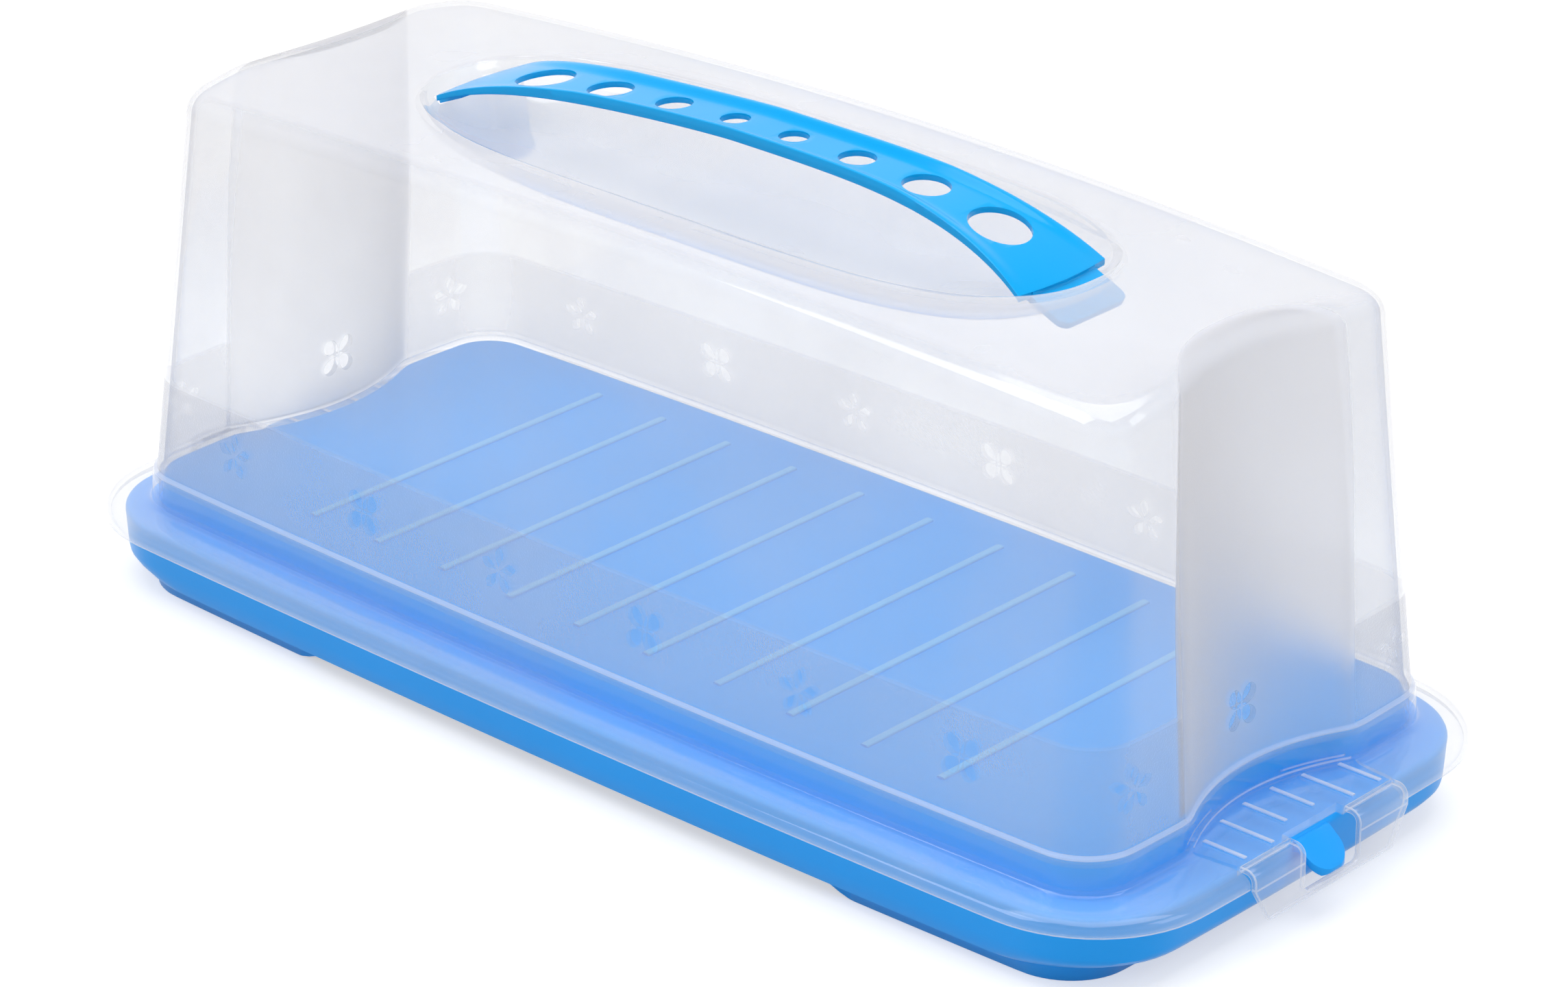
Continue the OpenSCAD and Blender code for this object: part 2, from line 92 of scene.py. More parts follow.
class CarrierSizes(bpy.types.PropertyGroup):
    """Sizes of the cover, tray, handle and latches, in millimetres"""

    lip_length: size("Lip length", 380, "Length over the lip of the flange")
    lip_width: size("Lip width", 173.2, "Width over the lip of the flange")
    lip_z: size("Lip height", 19.5, "Height of the lip's lower edge above the table")
    cover_height: size("Cover height", 128.2, "From the lip's lower edge to the middle of the top")
    lip_corner: size("Lip corner", 34.6, "Radius of the lip's corners")
    flange_end: size("Flange, ends", 17.9, "Width of the flange at the two ends")
    flange_side: size("Flange, sides", 14.8, "Width of the flange along the long sides")
    lean_end: size("End lean", 7.5, "How far each end wall leans in")
    lean_side: size("Side lean", 11.8, "How far each long wall leans in")
    shoulder_z: size("Shoulder", 14.1, "Height of the shoulder above the lip's lower edge")
    wall: size("Wall", 1.6, "Wall thickness of the cover")
    side_bow: size("Side bow", 3.2, "Outward bow of the long sides in plan")
    crown_long: size("Crown, ends", 1.3, "Fall of the top towards the middle of each end")
    crown_wide: size("Crown, sides", 1.2, "Fall of the top towards the long sides")
    crown_corner: size("Crown, corners", 5.4, "Further fall of the top towards the corners")
    top_edge: size("Top edge", 6, "Radius of the rounded top edge")
    recess_half: size("Recess half width", 35, "Half width of the hollow in each end wall")
    recess_low: size("Recess depth", 9.4, "Depth of the hollow at the shoulder")
    recess_high: size("Recess depth, top", 6.5, "Depth of the hollow at the top")
    hollow_past: size("Hollow past strap", 8, "From the strap's end to the end of the finger hollow")
    hollow_half: size("Hollow half width", 38, "Half width of the finger hollow")
    hollow_depth: size("Hollow depth", 16, "Depth of the finger hollow")
    band_top: size("Frosted band top", 40.5, "Top of the frosted band above the lip's lower edge")
    arch_in: size("End panel arch", 149.5, "Distance from the middle to the top of the frosted panel's arch")
    strap_length: size("Strap length", 205, "Length of the handle over its rounded ends")
    strap_width: size("Strap width", 20.5, "Width of the handle in the middle")
    strap_end_width: size("Strap end width", 33.4, "Width of the handle at its ends")
    strap_rise: size("Strap rise", 10.8, "Height of the handle above the middle of the top")
    strap_sink: size("Strap sink", 3.3, "Depth of the handle's ends below the top")
    strap_t: size("Strap thickness", 1.6, "Thickness of the handle")
    strap_bulge: size("Strap bulge", 1.5, "How far the handle's rounded ends bulge")
    strap_rim: size("Strap rim", 1.7, "Height of the handle's long rims")
    rim_fade: size("Rim fade", 47, "Length over which the rims fade out towards each end")
    end_lift: size("End lift", 1.1, "How far the strap's -X end lies above its +X end")
    hole_shift: size("Hole shift", 2.3, "How far the row of holes lies from the middle towards +X")
    foot_reach: size("Long foot", 10, "How far the foot at the +X end reaches past the strap's end")
    short_reach: size("Short foot", 4, "How far the foot at the -X end reaches past the strap's end")
    foot_half: size("Handle foot half width", 12.5, "Half width of the handle's feet")
    foot_t: size("Handle foot thickness", 1.8, "Thickness of the handle's feet")
    foot_gap: size("Handle foot gap", 0.4, "Gap between the cover and the handle's feet")
    base_inset: size("Base inset", 6, "From the lip in to the tray's rim")
    floor_z: size("Floor", 12.2, "Height of the raised floor above the lip's lower edge")
    ledge_z: size("Ledge", 2.1, "Height of the ledge round the raised floor")
    foot_h: size("Foot", 4.5, "Height of the foot")
    end_lean: size("Tray end lean", 7, "How much further in the foot stands at the two ends")
    turn_h: size("Tray turn", 9, "Height at which the tray's walls turn in towards the foot")
    arch_half: size("Arch half length", 96, "Half length of the arch between the feet")
    rib_count: bpy.props.IntProperty(name="Ribs", default=10, min=1, description="Ribs across the floor")
    rib_pitch: size("Rib pitch", 25, "Spacing of the ribs across the floor")
    rib_length: size("Rib length", 112, "Length of each rib")
    rib_w: size("Rib width", 2.4, "Width of each rib")
    rib_t: size("Rib thickness", 1, "Thickness of each rib")
    rib_z: size("Rib level", 0.1, "Height of the ribs' middle above the floor")
    latch_half: size("Latch half width", 31, "Half width of the latch at its fold")
    fold_inset: size("Fold inset", 4.5, "From the lip in to the fold line")
    latch_proud: size("Latch proud", 1.2, "How far the latch stands out past the lip")
    latch_low: size("Latch edge", 10.6, "From the lip's lower edge down to the latch's")
    latch_taper: size("Latch taper", 6.2, "How much each side of the latch draws in towards its lower edge")
    latch_gap: size("Latch gap", 0.35, "Gap between the latch and the slot that it lies in")
    bend_r: size("Latch bend", 3.4, "Radius of the latch's bend")
    plate_z: size("Latch plate", 5, "Level of the latch plate above the lip's lower edge")
    window_half: size("Window half width", 11, "Half width of the latch window")
    window_low: size("Window edge", 8.2, "From the lip's lower edge down to the window's")
    window_in: size("Window inset", 2, "From the fold line in to the window")
    tongue_out: size("Tongue", 8.7, "How far the catch tongue stands out past the tray's rim")
    tongue_half: size("Tongue half width", 6.8, "Half width of the catch tongue")


class CarrierLooks(bpy.types.PropertyGroup):
    """Colours and haze of the plastics"""

    handle: colour("Handle", "009FE2", "Colour of the handle")
    tray: colour("Tray", "14A2FC", "Colour of the tray")
    # A lighter copy of the tray's blue: painted highlight on the ribs, which are the tray's own plastic
    rib: colour("Floor rib", "6CBDF8", "Colour of the ribs across the tray's floor")
    haze: colour("Haze", "E9E5E4", "Colour of the milkiness in the cover")
    # Painted highlight: near-white colour laid on the cover's shoulder, lip, latch-plate ribs and flap bevels
    line: colour("Edge line", "FAFBFF", "Colour of the cover's bright edges")
    floor: colour("Floor", "C6C6C6", "Colour of the studio floor")
    haze_wall: share("Wall haze", 0.29, "Milkiness of the clear walls, low down")
    haze_top: share("Top haze", 0.37, "Milkiness of the clear walls high up and of the top")
    haze_neck: share("Neck haze", 0.08, "Milkiness of the clear neck under the shoulder")
    haze_flange: share("Flange haze", 0.25, "Milkiness of the flange")
    haze_band: share("Band haze", 0.46, "Milkiness of the frosted band")
    haze_panel: share("Panel haze", 0.54, "Milkiness of the frosted end panels")
    haze_motif: share("Motif haze", 0.28, "Milkiness of the clear flowers and clovers")
    # Milkiness where the highlight is painted along the cover's edges
    painted_highlight_haze: share("Edge haze", 0.8, "Milkiness of the cover's bright edges")
    blur: share("Blur", 0.65, "Roughness of the frosted parts as seen through")


class Plan:
    """Sizes worked out from the ones a user may change, all in millimetres."""

    def __init__(self, s):
        self.s = s
        self.LA, self.LB = s.lip_length / 2, s.lip_width / 2
        self.WA, self.WB = self.LA - s.flange_end, self.LB - s.flange_side
        self.TA, self.TB = self.WA - s.lean_end, self.WB - s.lean_side
        self.BA, self.BB = self.LA - s.base_inset, self.LB - s.base_inset
        self.fold_x = self.LA - s.fold_inset
        self.skirt_x = self.LA + s.latch_proud
        self.HL = s.strap_length / 2
        self.hollow_l = self.HL + s.hollow_past
        self.strap_top = s.cover_height + s.strap_rise
        self.strap_end = s.cover_height - s.strap_sink
        self.foot_z = self.strap_end - s.strap_t

    def strap_z(self, x):
        """Level of the strap: a full bow on the +X side, a flatter one on the -X side."""
        t, fall = abs(x) / self.HL, self.strap_top - self.strap_end
        if x > 0:
            return self.strap_top - fall * t ** 3.9
        return self.strap_top - (fall - self.s.end_lift) * (0.6 * t ** 1.3 + 0.4 * t ** 6)

    def crown(self, x, y):
        """Height of the crowned top over a plan point, above the lip's lower edge."""
        s = self.s
        u, v = (x / self.TA) ** 2, (y / self.TB) ** 2
        return s.cover_height - s.crown_long * u - s.crown_wide * v - s.crown_corner * u * v

    def hollow(self, x, y, o):
        """Depth of the finger hollow with a softly rounded rim; the inner face (o > 0) has it wider."""
        l, w = self.hollow_l + 0.75 * o, self.s.hollow_half + 0.75 * o
        f = 1 - np.abs(x / l) ** END_ROUND - np.abs(y / w) ** SIDE_ROUND
        f = (f + np.sqrt(f * f + 0.00006)) / 2
        return self.s.hollow_depth * f ** WALL_STEEP

    def level(self, a, b, r, d=0.0):
        """One level of the rounded outline as plan points, counter-clockwise from the +X end."""
        w = self.s.recess_half
        k1, k2, k3, k4 = 14, 6, 14, 26
        i = np.arange(k1) / k1
        parts = [np.c_[a - d * (1 - i ** 2), w * i]]
        i = np.arange(k2) / k2
        parts.append(np.c_[np.full(k2, a), w + (b - r - w) * i])
        t = np.linspace(0, math.pi / 2, k3 + 1)
        parts.append(np.c_[a - r + r * np.cos(t), b - r + r * np.sin(t)])
        i = np.arange(1, k4 + 1) / k4
        parts.append(np.c_[(a - r) * (1 - i), np.full(k4, b)])
        q = np.vstack(parts)
        ring = np.vstack([q, q[-2::-1] * (-1, 1), q[1:] * (-1, -1), q[-2:0:-1] * (1, -1)])
        ring = (np.roll(ring, 1, 0) + 2 * ring + np.roll(ring, -1, 0)) / 4
        x, y = ring[:, 0], ring[:, 1]
        bow = self.s.side_bow
        return np.c_[x * (1 - bow * 0.46 / a * (y / b) ** 2), y * (1 - bow / b * (x / a) ** 2)]

    def flat(self, a, b, r, d, z):
        ring = self.level(a, b, r, d)
        return np.c_[ring, np.full(len(ring), z + self.s.lip_z)]

    def rim(self, a, b, r, d, o):
        """The edge of the finger hollow, one point for each point of the outline."""
        ring = self.level(a, b, r, d) / (a, b)
        lo, hi = np.full(len(ring), 0.5), np.full(len(ring), 3.0)
        for _ in range(40):
            m = (lo + hi) / 2
            out = np.abs(m * ring[:, 0]) ** END_ROUND + np.abs(m * ring[:, 1]) ** SIDE_ROUND > 1
            hi, lo = np.where(out, m, hi), np.where(out, lo, m)
        return ring * lo[:, None] * (self.hollow_l + 0.75 * o, self.s.hollow_half + 0.75 * o)


# ---------------------------------------------------------------- meshes

def mesh_object(name, verts, faces, smooth=30):
    """An object from points in millimetres, smooth but for edges sharper than an angle."""
    mesh = bpy.data.meshes.new(name)
    mesh.from_pydata((np.asarray(verts) * MM).tolist(), [], faces)
    mesh.update()
    obj = bpy.data.objects.new(name, mesh)
    bpy.context.scene.collection.objects.link(obj)
    soften(obj, smooth)
    return obj


def soften(obj, angle):
    mesh = obj.data
    mesh.polygons.foreach_set("use_smooth", [True] * len(mesh.polygons))
    mesh.set_sharp_from_angle(angle=math.radians(angle))
    mesh.update()


def skin(name, rings, first, last, smooth=30):
    """Rings joined into one closed skin, with a fan of triangles at each end."""
    n = len(rings[0])
    pts = np.vstack([[first]] + list(rings) + [[last]])
    end = len(pts) - 1
    faces = [(0, 1 + i, 1 + (i + 1) % n) for i in range(n)]
    for k in range(len(rings) - 1):
        lo, hi = 1 + k * n, 1 + (k + 1) * n
        for i in range(n):
            j = (i + 1) % n
            faces.append((lo + i, hi + i, hi + j, lo + j))
    base = 1 + (len(rings) - 1) * n
    faces += [(base + i, end, base + (i + 1) % n) for i in range(n)]
    return mesh_object(name, pts, faces, smooth)


def prism(name, outline, low, high, axis=2):
    """A closed block: an outline carried along an axis (0 to 2 for X to Z) from one level to another."""
    flat = np.asarray(outline, float)
    n = len(flat)
    verts = np.vstack([np.insert(flat, axis, level, axis=1) for level in (low, high)])
    faces = [tuple(range(n))[::-1], tuple(range(n, 2 * n))]
    faces += [(i, (i + 1) % n, n + (i + 1) % n, n + i) for i in range(n)]
    obj = mesh_object(name, verts, faces)
    fix_normals(obj)
    return obj


def fix_normals(obj):
    bm = bmesh.new()
    bm.from_mesh(obj.data)
    bmesh.ops.recalc_face_normals(bm, faces=bm.faces)
    bm.to_mesh(obj.data)
    bm.free()


def block(name, x, y, z):
    """A box between two values on each axis."""
    return prism(name, [(x[0], y[0]), (x[1], y[0]), (x[1], y[1]), (x[0], y[1])], *z)


def turned(obj, half):
    """Turns a mesh half a round about the upright axis, for the -X end."""
    if half:
        obj.data.transform(Matrix.Rotation(math.pi, 4, "Z"))
    return obj


def apply_modifiers(obj):
    """Makes what an object's modifiers give its plain mesh."""
    deps = bpy.context.evaluated_depsgraph_get()
    mesh = bpy.data.meshes.new_from_object(obj.evaluated_get(deps))
    obj.modifiers.clear()
    old, obj.data = obj.data, mesh
    bpy.data.meshes.remove(old)
    mesh.name = obj.name


def combine(obj, others, operation):
    """Joins other closed pieces to obj, or cuts them out of it, and removes them."""
    for other in others:
        mod = obj.modifiers.new("Combine", "BOOLEAN")
        mod.operation, mod.object, mod.solver = operation, other, "MANIFOLD"
    apply_modifiers(obj)
    for other in others:
        mesh = other.data
        bpy.data.objects.remove(other)
        bpy.data.meshes.remove(mesh)
    return obj


def rounded(obj, width, angle=40, mark=False):
    """Rounds a piece's edges and, where asked, marks the new faces in the face attribute "edge", where the
    cover's shader paints a highlight.
    """
    mod = obj.modifiers.new("Rounded edges", "BEVEL")
    mod.width, mod.segments = width * MM, 2
    mod.limit_method, mod.angle_limit = "ANGLE", math.radians(angle)
    if mark:
        mod.material = 1
        for _ in range(2):
            obj.data.materials.append(None)
    apply_modifiers(obj)
    if mark:
        mesh = obj.data
        edge = mesh.attributes.new("edge", "FLOAT", "FACE")
        edge.data.foreach_set("value", [float(f.material_index) for f in mesh.polygons])
        mesh.polygons.foreach_set("material_index", [0] * len(mesh.polygons))


def finish_piece(obj, body, material, node=None):
    """Gives a piece its material and body, and hides the CAD node that it replaces."""
    obj.data.materials.clear()
    obj.data.materials.append(material)
    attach(obj, body)
    if node:
        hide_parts(node)


# ---------------------------------------------------------------- materials

class Shader:
    """A short way to write the node tree of a new material or world."""

    def __init__(self, name, kind="materials", coords="Object"):
        self.owner = getattr(bpy.data, kind).new(name)
        self.owner.use_nodes = True
        self.tree = self.owner.node_tree
        self.tree.nodes.clear()
        self.coords = self.node("ShaderNodeTexCoord").outputs[coords]
        split = self.node("ShaderNodeSeparateXYZ")
        self.link(self.coords, split.inputs[0])
        self.x, self.y, self.z = split.outputs

    def node(self, kind, **values):
        n = self.tree.nodes.new(kind)
        for key, value in values.items():
            setattr(n, key, value)
        return n

    def link(self, a, b):
        self.tree.links.new(a, b)

    def put(self, socket, value):
        """Links another socket to an input, or sets its value."""
        if isinstance(value, bpy.types.NodeSocket):
            self.link(value, socket)
        else:
            socket.default_value = value

    def math(self, op, a, b=0.0, c=0.0):
        n = self.node("ShaderNodeMath", operation=op)
        for socket, value in zip(n.inputs, (a, b, c)):
            self.put(socket, value)
        return n.outputs[0]

    def step(self, value, low, high, out_low=0.0, out_high=1.0, kind="SMOOTHSTEP"):
        """A rise from out_low to out_high as the value goes from low to high."""
        n = self.node("ShaderNodeMapRange", interpolation_type=kind)
        for socket, v in zip(n.inputs, (value, low, high, out_low, out_high)):
            self.put(socket, v)
        return n.outputs[0]

    def mix(self, share_in, a, b):
        n = self.node("ShaderNodeMix", data_type="FLOAT")
        self.put(n.inputs[0], share_in)
        self.put(n.inputs[2], a)
        self.put(n.inputs[3], b)
        return n.outputs[0]

    def noise(self, scale, detail=2.0, rough=0.5, stretch=None):
        n = self.node("ShaderNodeTexNoise")
        n.inputs["Scale"].default_value = scale
        n.inputs["Detail"].default_value = detail
        n.inputs["Roughness"].default_value = rough
        source = self.coords
        if stretch:
            m = self.node("ShaderNodeMapping")
            m.inputs["Scale"].default_value = stretch
            self.link(source, m.inputs[0])
            source = m.outputs[0]
        self.link(source, n.inputs["Vector"])
        return n.outputs["Fac"]

    def blend(self, share_in, a, b):
        """Mixes two shaders: a where the share is 0, b where it is 1."""
        n = self.node("ShaderNodeMixShader")
        self.put(n.inputs[0], share_in)
        self.link(a, n.inputs[1])
        self.link(b, n.inputs[2])
        return n.outputs[0]

    def bump(self, height, strength, distance):
        n = self.node("ShaderNodeBump")
        n.inputs["Strength"].default_value = strength
        n.inputs["Distance"].default_value = distance
        self.link(height, n.inputs["Height"])
        return n.outputs[0]

    def out(self, socket, kind="ShaderNodeOutputMaterial"):
        self.link(socket, self.node(kind).inputs["Surface"])
        return self.owner


def cover_material(s, looks):
    """Translucent cover plastic: clear walls, frosted band and end panels, clear motifs, and painted
    highlights along the shoulder, lip, latch ribs and flap bevels.
    """
    m = Shader("cover_plastic_look")
    sh = s.shoulder_z
    z = m.math("SUBTRACT", m.z, s.lip_z * MM)
    ax, ay = m.math("ABSOLUTE", m.x), m.math("ABSOLUTE", m.y)

    def over(value, edge, soft=0.3):
        return m.step(value, (edge - soft) * MM, (edge + soft) * MM)

    def under(value, edge, soft=0.3):
        return m.step(value, (edge - soft) * MM, (edge + soft) * MM, 1.0, 0.0)

    def both(*masks):
        out = masks[0]
        for mask in masks[1:]:
            out = m.math("MULTIPLY", out, mask)
        return out

    neck_low, arch_drop, arch_power = 4.75, 15, 2.6
    at_end = over(ax, s.arch_in - 2, 2.5)
    in_panel = under(ay, s.recess_half - 0.6, 0.4)
    band = both(over(z, sh - 0.5), under(z, s.band_top))
    arch = m.math("POWER", m.math("DIVIDE", ay, (s.recess_half - 2) * MM), arch_power)
    arch = m.math("ADD", m.math("MULTIPLY", arch, arch_drop * MM), s.arch_in * MM)
    panel = both(at_end, in_panel, over(z, sh - 0.5), over(m.math("SUBTRACT", ax, arch), 0, 0.4))
    neck = both(over(z, neck_low), under(z, sh - 2.6, 0.3))
    flange = under(z, neck_low)
    # Masks for the painted highlights: ribs on the latch plates, the shoulder, the lip's lower edge and the
    # flaps' bevel faces
    plate_x = s.lip_length / 2 - s.flange_end - 8
    plate = both(over(ax, plate_x), under(ay, s.latch_half + 0.9), over(z, 4.3, 0.1))
    ribs = both(plate, over(z, s.plate_z + 0.35, 0.15), under(z, s.plate_z + 1.0, 0.1))
    shoulder = both(over(z, sh - 0.95, 0.15), under(z, sh + 0.12, 0.12))
    lip = under(z, 0.4, 0.15)
    bevel_highlight = m.node("ShaderNodeAttribute", attribute_name="edge").outputs["Fac"]
    # The painted highlight on shoulder and lip is kept to the outer skin's front faces that face outward
    facet = m.node("ShaderNodeSeparateXYZ")
    m.link(m.node("ShaderNodeTexCoord").outputs["Normal"], facet.inputs[0])
    outward = m.math("ADD", m.math("MULTIPLY", facet.outputs[0], m.math("MULTIPLY", m.x, 0.2)),
                     m.math("MULTIPLY", facet.outputs[1], m.y))
    front = m.math("SUBTRACT", 1.0, m.node("ShaderNodeNewGeometry").outputs["Backfacing"])
    rim = both(m.math("MAXIMUM", shoulder, both(lip, over(z, -0.3, 0.1))), front, over(outward, 0, 1))
    line = m.math("MAXIMUM", rim, m.math("MAXIMUM", ribs, bevel_highlight))
    motif = m.math("MULTIPLY", motif_mask(m, s, z), band)

    def clear(haze):
        return math.sqrt(1 - haze)

    through = m.step(z, s.band_top * MM, s.cover_height * MM, clear(looks.haze_wall), clear(looks.haze_top))
    for mask, haze in ((neck, looks.haze_neck), (flange, looks.haze_flange), (band, looks.haze_band),
                       (panel, looks.haze_panel), (motif, looks.haze_motif)):
        through = m.mix(mask, through, clear(haze))
    facing = m.node("ShaderNodeLayerWeight")
    facing.inputs["Blend"].default_value = 0.5
    cosine = m.math("MAXIMUM", m.math("SUBTRACT", 1.0, facing.outputs["Facing"]), 0.33)
    through = m.math("POWER", through, m.math("DIVIDE", 0.72, cosine))
    cloud = m.step(m.noise(16.0, 3.0, 0.55), 0.3, 0.7, 0.96, 1.04)
    through = m.math("MINIMUM", m.math("MULTIPLY", through, cloud), 0.985)
    # Where the highlight is painted the wall turns milkier
    through = m.mix(line, through, clear(looks.painted_highlight_haze))
    frosted = m.math("MAXIMUM", band, panel)
    # Haze colour, turned near-white where the highlight is painted
    milk_and_painted_highlight = m.node("ShaderNodeMix", data_type="RGBA")
    m.link(line, milk_and_painted_highlight.inputs[0])
    milk_and_painted_highlight.inputs[6].default_value = (*looks.haze, 1)
    milk_and_painted_highlight.inputs[7].default_value = (*looks.line, 1)
    diffuse = m.node("ShaderNodeBsdfDiffuse")
    trans = m.node("ShaderNodeBsdfTranslucent")
    for n in (diffuse, trans):
        m.link(milk_and_painted_highlight.outputs[2], n.inputs["Color"])
    milk = m.blend(0.45, diffuse.outputs[0], trans.outputs[0])
    blurred = m.node("ShaderNodeBsdfRefraction")
    blurred.inputs["IOR"].default_value = PANEL_IOR
    blurred.inputs["Roughness"].default_value = looks.blur
    matt = m.math("MULTIPLY", panel, m.math("SUBTRACT", 1.0, motif))
    view = m.blend(matt, m.node("ShaderNodeBsdfTransparent").outputs[0], blurred.outputs[0])
    body = m.blend(through, milk, view)
    wave = m.bump(m.noise(14.0, 2.0, 0.5), 0.3, 0.004)
    fine = m.node("ShaderNodeBump")
    fine.inputs["Distance"].default_value = 0.0004
    m.link(m.noise(2200.0, 1.0), fine.inputs["Height"])
    m.link(m.math("MULTIPLY", frosted, 0.5), fine.inputs["Strength"])
    m.link(wave, fine.inputs["Normal"])
    gloss = m.node("ShaderNodeBsdfGlossy")
    gloss.inputs["Color"].default_value = (1, 1, 1, 1)
    m.link(m.mix(frosted, 0.1, 0.42), gloss.inputs["Roughness"])
    m.link(fine.outputs[0], gloss.inputs["Normal"])
    fresnel = m.node("ShaderNodeFresnel")
    fresnel.inputs["IOR"].default_value = PLASTIC_IOR
    m.link(fine.outputs[0], fresnel.inputs["Normal"])
    mirror = m.math("MULTIPLY", m.math("MULTIPLY", fresnel.outputs[0], front), m.mix(frosted, 1.3, 0.6))
    return m.out(m.blend(m.math("MINIMUM", mirror, 0.6), body, gloss.outputs[0]))


def motif_mask(m, s, z):
    """Flowers and four-leaf clovers in turn round the frosted band: 1 inside a motif."""
    pitch, height = 0.1035, 0.0285
    petal, petal_w = 0.0066, 0.00165
    leaf_at, leaf_l, leaf_w = 0.0037, 0.0031, 0.00245
    soft = 0.00022
    on_end = m.step(m.math("ABSOLUTE", m.x), 0.1545, 0.1550)
    along = m.mix(on_end, m.x, m.math("ADD", m.y, 0.0260))
    v = m.math("SUBTRACT", z, height)
    masks = []
    for leaves, start, offset in ((5, -0.0265, 18), (4, 0.0252, 0)):
        shift = m.math("SUBTRACT", along, start - pitch / 2)
        u = m.math("SUBTRACT", m.math("FLOORED_MODULO", shift, pitch), pitch / 2)
        r = m.math("SQRT", m.math("ADD", m.math("MULTIPLY", u, u), m.math("MULTIPLY", v, v)))
        sector = math.tau / leaves
        turn = m.math("ADD", m.math("ARCTAN2", v, u), math.radians(offset))
        turn = m.math("SUBTRACT", m.math("FLOORED_MODULO", turn, sector), sector / 2)
        out = m.math("MULTIPLY", r, m.math("COSINE", turn))
        side = m.math("ABSOLUTE", m.math("MULTIPLY", r, m.math("SINE", turn)))
        if leaves == 5:
            t = m.math("MINIMUM", m.math("MAXIMUM", m.math("DIVIDE", out, petal), 0.0), 1.0)
            swell = m.math("SINE", m.math("MULTIPLY", m.math("POWER", t, 1.6), math.pi))
            edge = m.math("SUBTRACT", m.math("MULTIPLY", swell, petal_w), side)
        else:
            t = m.math("DIVIDE", m.math("SUBTRACT", out, leaf_at), leaf_l)
            t2 = m.math("MAXIMUM", m.math("SUBTRACT", 1.0, m.math("MULTIPLY", t, t)), 0.0)
            widest = m.math("ADD", leaf_w, m.math("MULTIPLY", t, leaf_w * 0.2))
            width = m.math("MULTIPLY", m.math("SQRT", t2), widest)
            edge = m.math("SUBTRACT", width, side)
        masks.append(m.step(edge, 0.0, 2 * soft))
    return m.math("MAXIMUM", *masks)


def blue_material(name, base, rough):
    """Moulded opaque plastic with soft gloss, faint cloudiness and a fine skin."""
    m = Shader(name)
    shader = m.node("ShaderNodeBsdfPrincipled")
    cloud = m.noise(9.0, 3.0, 0.5)
    tone = m.node("ShaderNodeMix", data_type="RGBA")
    m.link(m.step(cloud, 0.3, 0.7), tone.inputs[0])
    tone.inputs[6].default_value = (*[c * 0.97 for c in base], 1)
    tone.inputs[7].default_value = (*[min(1, c * 1.03) for c in base], 1)
    m.link(tone.outputs[2], shader.inputs["Base Color"])
    m.link(m.mix(m.noise(60.0, 3.0), rough - 0.03, rough + 0.05), shader.inputs["Roughness"])
    shader.inputs["IOR"].default_value = PLASTIC_IOR
    shader.inputs["Specular IOR Level"].default_value = 0.25
    m.link(m.bump(m.noise(900.0, 2.0), 0.05, 0.0003), shader.inputs["Normal"])
    return m.out(shader.outputs[0])


def floor_material(looks):
    """Pale floor that stays white to the camera and keeps the object's shadow."""
    m = Shader("studio_floor")
    diffuse = m.node("ShaderNodeBsdfDiffuse")
    diffuse.inputs["Color"].default_value = (*looks.floor, 1)
    glow = m.node("ShaderNodeEmission")
    glow.inputs["Color"].default_value = (1, 1, 1, 1)
    path = m.node("ShaderNodeLightPath")
    seen = m.math("MAXIMUM", path.outputs["Is Camera Ray"],
                  m.math("MAXIMUM", path.outputs["Is Glossy Ray"], path.outputs["Is Transmission Ray"]))
    m.link(m.math("MULTIPLY", seen, 0.55), glow.inputs["Strength"])
    both = m.node("ShaderNodeAddShader")
    m.link(diffuse.outputs[0], both.inputs[0])
    m.link(glow.outputs[0], both.inputs[1])
    return m.out(both.outputs[0])


def studio_world():
    """White world, a little dimmer as light and dark overhead in the gloss of the plastics."""
    m = Shader("studio_world", "worlds", "Generated")
    path = m.node("ShaderNodeLightPath")
    glossy = path.outputs["Is Glossy Ray"]
    level = m.mix(m.math("MAXIMUM", path.outputs["Is Camera Ray"], glossy), 0.64, 1.0)
    overhead = m.step(m.z, 0.5, 0.85, 0.0, 0.75, "LINEAR")
    back = m.node("ShaderNodeBackground")
    back.inputs["Color"].default_value = (1, 1, 1, 1)
    m.link(m.math("SUBTRACT", level, m.math("MULTIPLY", glossy, overhead)), back.inputs["Strength"])
    return m.out(back.outputs[0], "ShaderNodeOutputWorld")


# ---------------------------------------------------------------- pieces

def cover_rings(p, o):
    """Rings of the rounded top edge, the top and the finger hollow; o is 0 outside, the wall inside."""
    s = p.s
    e, a, b, r = s.top_edge - o, p.TA - o, p.TB - o, 11 - o
    lift = s.lip_z
    rings = []
    for f in np.radians(np.linspace(0, 90, 10)):
        k = e * (1 - math.cos(f))
        ring = p.level(a - k, b - k, r - k * 0.7, s.recess_high)
        rings.append(np.c_[ring, p.crown(*ring.T) - o - e + e * math.sin(f) + lift])
    outer = p.level(a - e, b - e, r - e * 0.7, s.recess_high)
    rim = p.rim(a - e, b - e, r - e * 0.7, s.recess_high, o)
    for t in (0.12, 0.3, 0.5, 0.7, 0.85, 0.93, 0.97, 0.99):
        ring = outer + (rim - outer) * t
        rings.append(np.c_[ring, p.crown(*ring.T) - p.hollow(*ring.T, o) - o + lift])
    for t in (1, 0.995, 0.99, 0.98, 0.965, 0.945, 0.92, 0.89, 0.85, 0.8, 0.74, 0.66, 0.56, 0.45, 0.34,
              0.22, 0.1):
        ring = rim * t
        rings.append(np.c_[ring, p.crown(*ring.T) - p.hollow(*ring.T, o) - o + lift])
    return rings


